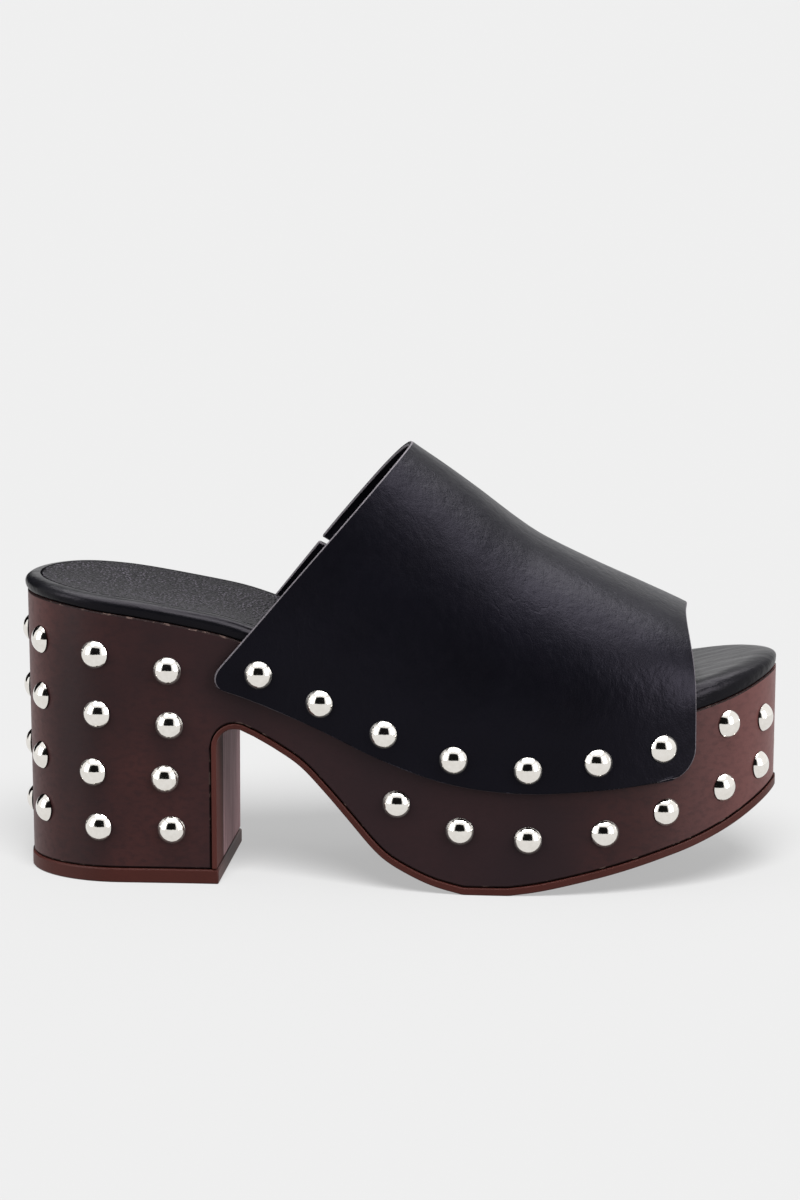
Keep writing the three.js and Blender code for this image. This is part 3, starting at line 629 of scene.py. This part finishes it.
def sock_leather():
    """Charcoal leather with a small uneven pebble grain, with painted highlights on the crests of the
    pebbles.
    """
    leather = Finish("sock_leather")
    pebble = leather.node("TexVoronoi", {}, {"Vector": leather.place, "Scale": 850, "Randomness": 0.9})
    cloud = leather.noise(leather.place, 60, 3)
    # Painted highlights: the crests of the pebbles paler and violet grey, in clouds.
    painted_crest_highlight = leather.band(pebble, 0.45, 0.1) * leather.band(cloud, 0.25, 0.7)
    return leather.shade(Base_Color=leather.blend(painted_crest_highlight, rgb(4, 4, 6), rgb(66, 62, 70)),
                         Roughness=0.4 + 0.15 * cloud, Normal=leather.bump(1 - pebble, 0.7),
                         Specular_IOR_Level=0.06, Specular_Tint=(0.95, 0.87, 1.0, 1))


fit(sock, [sock_leather()], "sock", "sock")

# Upper.
# One wide piece of soft blue-black leather, bent over the foot and nailed to both walls with studs.
# Its cut edges are left raw, and a short slit in the medial back edge eases it over the instep.
INSTEP_HEIGHT, UPPER_THICKNESS, UPPER_CORNER = 140.6, 2.0, 7.5
UPPER_LAP, FRONT_LAP, LAP_GROWS_AT = 17.6, 20.0, 0.68
BACK_FOOT_X, BACK_TOP_X, BACK_FLARE = station(0.252), station(0.515), 1.3
BACK_FOOT_Z = platform_top(BACK_FOOT_X) - UPPER_LAP
FRONT_AT, RIDGE_BEHIND, MEDIAL_BEHIND, FRONT_BOW = 0.895, 4.6, 9.0, 2.4
SLIT_LENGTH, SLIT_MOUTH, SLIT_SHARE = 20.0, 1.4, 0.51
FLAP_LIFT, FLAP_LENGTH, FLAP_ROWS = 2.0, 7.0, 7
RIDGE_SHIFT = 2.0
# Rows of a share of the length: the ridge on its way from the ball's height to the instep's, and the power
# of the superellipse across the foot
RIDGE_LINE = [
    (0.2, 1.66), (0.4, 1.23), (0.515, 1), (0.557, 0.92), (0.6, 0.833), (0.653, 0.72), (0.686, 0.659),
    (0.749, 0.57), (0.813, 0.487), (0.877, 0.402), (0.92, 0.335)]
FULLNESS = [(0.25, 2.1), (0.5, 2.1), (0.75, 2.25), (0.92, 2.4)]


def ridge(x):
    """Height of the upper's inner face along the instep: the outer ridge less the leather's thickness."""
    def outer_ridge(at):
        return lerp(BALL_HEIGHT, INSTEP_HEIGHT, through(RIDGE_LINE, share(at)))

    slope = (outer_ridge(x + 1) - outer_ridge(x - 1)) / 2
    return outer_ridge(x) - UPPER_THICKNESS * np.hypot(1, slope)


def inside(x, lap, angle):
    """Inner face of the upper at a station: a lap down each wall, and between the laps a superellipse from
    wall to ridge. angle runs from 0 on the lateral side to pi on the medial side."""
    top = platform_top(x)
    lap_length = lerp(UPPER_LAP, FRONT_LAP, smooth(share(x), LAP_GROWS_AT, FRONT_AT))
    feet = [side * half_width(side, x, CLEARANCE - wall_inset(top)) for side in (LATERAL, MEDIAL)]
    lap_z = top - lap * lap_length
    walls = [side * half_width(side, x, CLEARANCE - wall_inset(lap_z)) for side in (LATERAL, MEDIAL)]
    middle = (feet[0] + feet[1]) / 2 + RIDGE_SHIFT
    power = 2 / through(FULLNESS, share(x))
    outward = np.abs(np.cos(angle)) ** power
    upward = np.maximum(np.sin(angle), 0) ** power
    on_lateral = angle < np.pi / 2
    arch_y = lerp(middle, np.where(on_lateral, feet[0], feet[1]), outward)
    arch_z = lerp(top, ridge(x), upward)
    lapped = lap > 0
    return np.stack([
        x + 0 * lap, np.where(lapped, np.where(on_lateral, walls[0], walls[1]), arch_y),
        np.where(lapped, lap_z, arch_z)], -1)


def back_edge(lap, angle):
    """Station where each row meets the slanted back edge, found by halving the span that holds it. The
    medial side flares back a little halfway up."""
    slope = (INSTEP_HEIGHT - BACK_FOOT_Z) / (BACK_TOP_X - BACK_FOOT_X)
    low, high = BACK_FOOT_X - UPPER_CORNER + 0 * lap, BACK_TOP_X + UPPER_CORNER + 0 * lap
    for _ in range(30):
        middle = (low + high) / 2
        over = inside(middle, lap, angle)[..., 2] - BACK_FOOT_Z - slope * (middle - BACK_FOOT_X) > 0
        low, high = np.where(over, middle, low), np.where(over, high, middle)
    return low - BACK_FLARE * np.maximum(-np.sin(2 * angle), 0) * (angle > np.pi / 2)


def front_edge(lap, angle):
    """Station of the front edge, which bows back over the ridge and lies further back on the medial side."""
    at_foot = np.where(angle < np.pi / 2, 0, MEDIAL_BEHIND)
    rise = np.where(lap > 0, 0, np.sin(angle))
    return station(FRONT_AT) - lerp(at_foot, RIDGE_BEHIND, np.maximum(rise, 0) ** FRONT_BOW)


def upper_rows():
    """Rows of the upper from the lateral lower edge over the foot to the medial one, each a lap share, an
    angle, and how far its ends are pulled in to round the lap's corners."""
    corner = UPPER_CORNER / UPPER_LAP
    turn = np.linspace(0, np.pi / 2, 9)
    straight = np.linspace(1 - corner, 0, 8)[1:-1]
    lap = np.concatenate([1 - corner * (1 - np.cos(turn)), straight])
    pulled = np.concatenate([UPPER_CORNER * (1 - np.sin(turn)), 0 * straight])
    arch = np.linspace(0, np.pi, 97)
    return (np.concatenate([lap, 0 * arch, lap[::-1]])[:, None],
            np.concatenate([0 * lap, arch, 0 * lap + np.pi])[:, None],
            np.concatenate([pulled, 0 * arch, pulled[::-1]])[:, None])


def upper_sheets():
    """Outer and inner face of the upper on either side of the slit's row. The rows next to the slit part by
    a wedge that closes at the slit's end, and the flap above it lifts a little."""
    lap, angle, pulled = upper_rows()
    back, front = back_edge(lap, angle) + pulled, front_edge(lap, angle) - pulled
    run = np.linspace(0, 1, 111)[None, :] ** 1.15     # a little closer together at the back edge
    x = lerp(back, front, run)
    within = inside(x, lap + 0 * x, angle + 0 * x)
    forward, over = np.gradient(within, axis=1), np.gradient(within, axis=0)
    normal = np.cross(forward, over)
    normal /= np.linalg.norm(normal, axis=-1, keepdims=True)
    edge_z = within[:, 0, 2]
    wanted = lerp(BACK_FOOT_Z, INSTEP_HEIGHT, SLIT_SHARE)
    medial_rows = np.arange(len(edge_z)) > len(edge_z) // 2
    cut = int(np.argmin(np.where(medial_rows, np.abs(edge_z - wanted), np.inf)))
    down = within[cut + 1] - within[cut - 1]
    down /= np.linalg.norm(down, axis=-1, keepdims=True)
    distance = np.concatenate([[0], np.cumsum(np.linalg.norm(np.diff(within[cut], axis=0), axis=-1))])
    gap = (SLIT_MOUTH / 2 * np.maximum(1 - distance / SLIT_LENGTH, 0))[:, None] * down
    above, below = within[:cut + 1].copy(), within[cut:].copy()
    above[-1] -= gap
    below[0] += gap
    away = (cut - np.arange(cut + 1))[:, None] / FLAP_ROWS
    lift = np.exp(-away ** 2 - (distance[None, :] / FLAP_LENGTH) ** 2)[..., None] * FLAP_LIFT
    above += normal[:cut + 1] * lift
    sheets = []
    for grid, out in ((above, normal[:cut + 1]), (below, normal[cut:])):
        sheets.append((grid + out * UPPER_THICKNESS, grid))
    return sheets, int(np.searchsorted(distance, SLIT_LENGTH)) + 1


(above, below), slit_end = upper_sheets()
edges = [np.stack([above[0][0], above[1][0]]), np.stack([below[0][-1], below[1][-1]]),
         np.stack([above[0][-1, :slit_end], above[1][-1, :slit_end]]),
         np.stack([below[0][0, :slit_end], below[1][0, :slit_end]])]
for outer, inner in (above, below):
    edges += [np.stack([outer[:, 0], inner[:, 0]]), np.stack([outer[:, -1], inner[:, -1]])]
upper = make_mesh("upper_leather", [*above, *below, *edges], sharp=50)
round_edges(upper, 0.45, finish=1)


def upper_leather():
    """Blue-black leather with a soft violet sheen: fine pores, a loose hide grain and faint thin creases,
    which are the lines where a slow noise passes its middle value."""
    leather = Finish("upper_leather")
    pores = leather.pores(1000)
    soft = leather.noise(leather.place, 38, 2)
    hide = leather.noise(leather.stretched((1, 1, 0.6)), 420, 4)
    path = leather.noise(leather.stretched((1, 1, 0.5)), 130, 2)
    off_path = leather.node("Math", {"operation": "ABSOLUTE"}, {0: path - 0.5})
    crease = (1 - leather.band(off_path, 0.0, 0.035)) * leather.band(soft, 0.48, 0.62)
    colour = leather.blend(soft, rgb(4, 4, 6), rgb(8, 8, 13))
    normal = leather.bump(pores, 0.04, leather.bump(hide - 0.15 * crease, 0.2, leather.bump(soft, 0.9)))
    return leather.shade(Base_Color=colour, Roughness=0.28 + 0.16 * hide, Normal=normal,
                         Specular_IOR_Level=0.09, Specular_Tint=(0.84, 0.77, 1.0, 1))


def raw_edge_and_highlight():
    """The corners of the cut edge, greyer partly where the dye is worn off and partly by a painted highlight:
    matt and a little fibrous.
    """
    edge = Finish("raw_edge_and_highlight")
    fibre = edge.noise(edge.place, 900, 3)
    # Painted highlight: the pale grey of the cut edge stands partly for light caught on it.
    return edge.shade(Base_Color=edge.blend(fibre, rgb(42, 40, 44), rgb(96, 91, 96)),
                      Roughness=0.6 + 0.2 * fibre, Normal=edge.bump(fibre, 0.08), Specular_IOR_Level=0.2)


fit(upper, [upper_leather(), raw_edge_and_highlight()], "upper", "upper")

# Studs.
# Polished steel dome nails, hammered by eye through the upper's laps and into the block in rows.
STUD_RADIUS, STUD_HEIGHT = 4.5, 2.5
# The heel's nails stand in columns a pitch apart along the wall. Each column runs from its drop below the
# platform's top down to its own foot height.
HEEL_PITCH, HEEL_SHIFT, HEEL_TOP_DROP, HEEL_ROWS = 23.8, 2.3, 14.2, 4
HEEL_FEET = [18.5, 18.6, 22.3, 20.3, 22.3, 18.6, 18.5]
# How far each heel nail slips ahead along the wall and down: columns from the breast to the back, the
# same on both sides, and rows from the top down
HEEL_SLIPS = [[(-0.2, 1.3), (0.3, 1.6), (-1.3, 1.6), (0.8, 0.8)],
              [(-0.3, 0), (0.2, 0.8), (-1.5, 1.2), (0.3, 0.5)],
              [(0, -0.4), (0.2, -0.1), (-1, 1.5), (0.3, 0.6)],
              [(0, 0)] * HEEL_ROWS]
# The other rows, as drops below the platform's top at shares of the length, or at ways along the wall from
# the toe tip, which are negative on the lateral side
LAP_STUDS = [(0.326, 8.2), (0.408, 8.9), (0.493, 8.8), (0.585, 9.4), (0.682, 9.9), (0.772, 9.4), (0.855, 9.1)]
TOE_STUDS = [(-34.5, 8.6), (-15.5, 13.5), (13, 8.6), (33, 7.2), (-36, 29.1), (-18, 28.4), (12, 26.5)]
LOWER_STUDS = [(0.508, 30.5), (0.592, 32.7), (0.682, 33.2), (0.783, 33.4), (0.863, 30.7)]
MEDIAL_TOE_STUD = (31, 26.8)


def stud(side, x, z, seat=0.0):
    """One dome centred at a station and height, on a seat so far off the block: a cap of a sphere about the
    wall's normal, with a flat back. A base of radius r and a height h take a sphere of radius
    (r * r + h * h) / 2h."""
    ball, toe_start, _ = SIDES[side]
    start, y = station(toe_start), side * float(half_width(side, x))
    if x <= 0:
        normal = np.array([x, y, 0])
    elif x < start:
        normal = np.array([half_width(side, x - 0.5) - half_width(side, x + 0.5), side, 0])
    else:
        normal = np.array([(x - start) / (TOE_X - start) ** 2,
                           (y - TOE_TIP_Y) / (ball - side * TOE_TIP_Y) ** 2, 0])
    normal = normal / np.linalg.norm(normal)
    seated = np.array([x, y, z]) + normal * (seat + CLEARANCE - wall_inset(z))
    sideways = np.array([-normal[1], normal[0], 0])
    up = np.array([0, 0, 1.0])
    ball_radius = (STUD_RADIUS ** 2 + STUD_HEIGHT ** 2) / (2 * STUD_HEIGHT)
    rise = np.linspace(np.arcsin(STUD_RADIUS / ball_radius), 0, 11)
    turn = np.linspace(0, 2 * np.pi, 33)
    radius = np.concatenate([[0], ball_radius * np.sin(rise)])[:, None, None]
    height = np.concatenate([[0], STUD_HEIGHT - ball_radius * (1 - np.cos(rise))])[:, None, None]
    around = np.cos(turn)[None, :, None] * sideways + np.sin(turn)[None, :, None] * up
    return seated + radius * around + height * normal


def from_heel_back(distance):
    """Station at a way along the wall from the heel's back."""
    quarter = HEEL_RADIUS * np.pi / 2
    return -HEEL_RADIUS * np.cos(distance / HEEL_RADIUS) if distance < quarter else distance - quarter


def from_toe_tip(side, distance):
    """Station at a way along the wall from the toe tip, read off the summed length of the toe's ellipse."""
    start = station(SIDES[side][1])
    x = lerp(start, TOE_X, np.sin(np.linspace(np.pi / 2, 0, 400)))
    y = half_width(side, x)
    gone = np.concatenate([[0], np.cumsum(np.hypot(np.diff(x), np.diff(y)))])
    return float(np.interp(distance, gone, x))


def stud_under_top(side, x, drop, seat=0.0):
    """A dome at a station, with its centre a drop below the platform's top."""
    return stud(side, x, float(platform_top(x)) - drop, seat)


def steel():
    """Polished nickel-plated steel, a touch warm, with faint dents of the hammer and the faintest wear."""
    metal = Finish("polished_steel")
    wear = metal.noise(metal.place, 700, 3)
    dents = metal.noise(metal.place, 260, 1)
    return metal.shade(Base_Color=metal.blend(wear, rgb(226, 221, 213), rgb(246, 243, 238)), Metallic=1.0,
                       Roughness=0.05 + 0.08 * wear, Normal=metal.bump(wear, 0.02, metal.bump(dents, 0.06)))


polished_steel = steel()


def add_studs(name, domes, nodes):
    """Domes in one piece, which stand for their own solids."""
    fit(make_mesh(name, domes, sharp=60), [polished_steel], "stud", *nodes)


def side_of(along):
    """The side on which a way along the wall lies, from the heel's back or from the toe tip."""
    return LATERAL if along < 0 else MEDIAL


heel_domes = []
for column, foot in enumerate(HEEL_FEET):
    along = HEEL_SHIFT + (column - len(HEEL_FEET) // 2) * HEEL_PITCH
    top_z = float(platform_top(from_heel_back(abs(along)))) - HEEL_TOP_DROP
    slips = HEEL_SLIPS[min(column, len(HEEL_FEET) - 1 - column)]
    heel_domes += [stud(side_of(along), from_heel_back(abs(along) + ahead), z - down)
                   for z, (ahead, down) in zip(np.linspace(top_z, foot, HEEL_ROWS), slips)]
add_studs("heel_studs", heel_domes, [f"stud_heel_{c}_{r}" for c in range(1, 8) for r in range(1, 5)])

lap_domes = [stud_under_top(side, station(at), drop, CLEARANCE + UPPER_THICKNESS)
             for side in (LATERAL, MEDIAL) for at, drop in LAP_STUDS]
add_studs("lap_studs", lap_domes, [f"stud_lap_{s}_{i}" for s in ("lateral", "medial") for i in range(1, 8)])

toe_domes = [stud_under_top(side_of(along), from_toe_tip(side_of(along), abs(along)), drop)
             for along, drop in [*TOE_STUDS, MEDIAL_TOE_STUD]]
add_studs("toe_studs", toe_domes,
          [f"stud_toe_upper_{i}" for i in range(1, 5)] + [f"stud_toe_lower_{i}" for i in range(1, 4)])

lower_domes = [stud_under_top(side, station(at), drop)
               for side in (LATERAL, MEDIAL) for at, drop in LOWER_STUDS]
add_studs("lower_studs", lower_domes, [f"stud_lower_lateral_{i}" for i in range(1, 6)])

# Photograph's set.
# A plain pale floor inside a white tent that is open toward the camera and has one slit behind, with a
# soft lamp overhead and one at each side for the leather's sheen. The lens is long, a little above the shoe.
FLOOR_SIZE, FLOOR_GLOW = 60, 0.44
pieces = bpy.data.collections.new("lit_pieces")
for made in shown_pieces():
    pieces.objects.link(made)


def floor():
    """A wide flat sheet of back-lit paper on z = 0, so that its shadows stay pale. Gives the collection that
    its own light is held to."""
    bpy.ops.mesh.primitive_plane_add(size=FLOOR_SIZE, location=(0, 0, 0))
    ground = bpy.context.object
    ground.name = "pale_floor"
    paper = Finish("pale_paper")
    ground.data.materials.append(paper.shade(
        Base_Color=(0.1, 0.1, 0.1, 1), Roughness=1.0, Specular_IOR_Level=0.0,
        Emission_Color=(1, 1, 1, 1), Emission_Strength=FLOOR_GLOW))
    under_shoe = bpy.data.collections.new("lit_floor")
    under_shoe.objects.link(ground)
    return under_shoe


def lamp_on(lamp, place, target, lit):
    """Puts a lamp at a place in metres, turned to a target; it lights one collection alone."""
    made = bpy.data.objects.new(lamp.name, lamp)
    bpy.context.collection.objects.link(made)
    made.location = place
    made.rotation_euler = (Vector(target) - Vector(place)).to_track_quat("-Z", "Y").to_euler()
    made.light_linking.receiver_collection = lit


def soft_light(name, place, target, size, radiance):
    """A rectangular lamp for the shoe alone; its power is pi times its area and radiance."""
    lamp = bpy.data.lights.new(name, "AREA")
    lamp.shape, lamp.size, lamp.size_y = "RECTANGLE", *size
    lamp.energy = math.pi * size[0] * size[1] * radiance
    lamp_on(lamp, place, target, pieces)


def floor_light(place, strength, spread):
    """A wide far light from the front and above, which throws the shoe's soft shadow on the floor."""
    lamp = bpy.data.lights.new("floor_light", "SUN")
    lamp.energy, lamp.angle = strength, math.radians(spread)
    lamp_on(lamp, place, (0, 0, 0), floor())


floor_light(place=(0.1, -0.62, 0.78), strength=13.8, spread=34)
soft_light("overhead", place=(0.1, 0.15, 1.3), target=(0.09, 0.15, 0.05), size=(1.4, 1.6), radiance=8.6)
soft_light("left", place=(-1.3, -0.7, 0.6), target=(0.05, 0, 0.06), size=(0.7, 1.2), radiance=8.0)
soft_light("right", place=(1.5, -0.8, 0.6), target=(0.12, 0, 0.06), size=(0.7, 1.2), radiance=11.0)

# Openings of the tent: degrees round from the front to the middle of each, its half width as a slope
# sideways and upward, and the slope up to its middle. LEAST_AHEAD keeps a slope from a division by 0.
OPENINGS = [(-3, 0.75, 0.45), (222, 0.5, 0.4)]
OPENING_SOFT, OPENING_DARK, LEAST_AHEAD = 0.02, 0.006, 0.001


def tent():
    """White light from all round, but for the openings: each is a dark square as seen from the shoe, with
    soft edges, whose sides are given by the slopes of a direction sideways and upward."""
    world = bpy.data.worlds.new("tent")
    bpy.context.scene.world = world
    world.use_nodes = True
    cloth = Nodes(world.node_tree)
    ray = cloth.node("TexCoord", {}, {}, "Generated")
    side, depth, up = (cloth.node("SeparateXYZ", {}, {0: ray}, axis) for axis in "XYZ")
    white = 1
    for way_round, half, middle in OPENINGS:
        turn = math.radians(way_round)
        toward = side * math.sin(turn) - depth * math.cos(turn)
        forward = cloth.node("Math", {"operation": "MAXIMUM"}, {0: toward, 1: LEAST_AHEAD})
        sideways = side * math.cos(turn) + depth * math.sin(turn)
        inside_opening = 1
        for slope in (sideways / forward, up / forward - middle):
            off = cloth.node("Math", {"operation": "ABSOLUTE"}, {0: slope})
            inside_opening = (1 - cloth.band(off, half - OPENING_SOFT, half)) * inside_opening
        white = (1 - inside_opening) * white
    colour = cloth.blend(white, (OPENING_DARK, OPENING_DARK, OPENING_DARK, 1), (1, 1, 1, 1))
    cloth.join(world.node_tree.nodes["Background"], {"Color": colour, "Strength": 1.0})


tent()
bpy.context.scene.view_settings.view_transform = "Standard"

AZIMUTH, ELEVATION, DISTANCE, LENS = math.radians(5.16), math.radians(9.94), 1.7, 156.3
AIM = np.array([0.08894, 0, 0.08882])
camera = bpy.data.objects.new("camera", bpy.data.cameras.new("camera"))
bpy.context.collection.objects.link(camera)
camera.data.sensor_width = 36
camera.data.lens = LENS
camera.data.clip_end = 60
camera.location = AIM + DISTANCE * np.array([
    math.sin(AZIMUTH) * math.cos(ELEVATION), -math.cos(AZIMUTH) * math.cos(ELEVATION), math.sin(ELEVATION)])
camera.rotation_euler = (math.pi / 2 - ELEVATION, 0, AZIMUTH)
bpy.context.scene.camera = camera
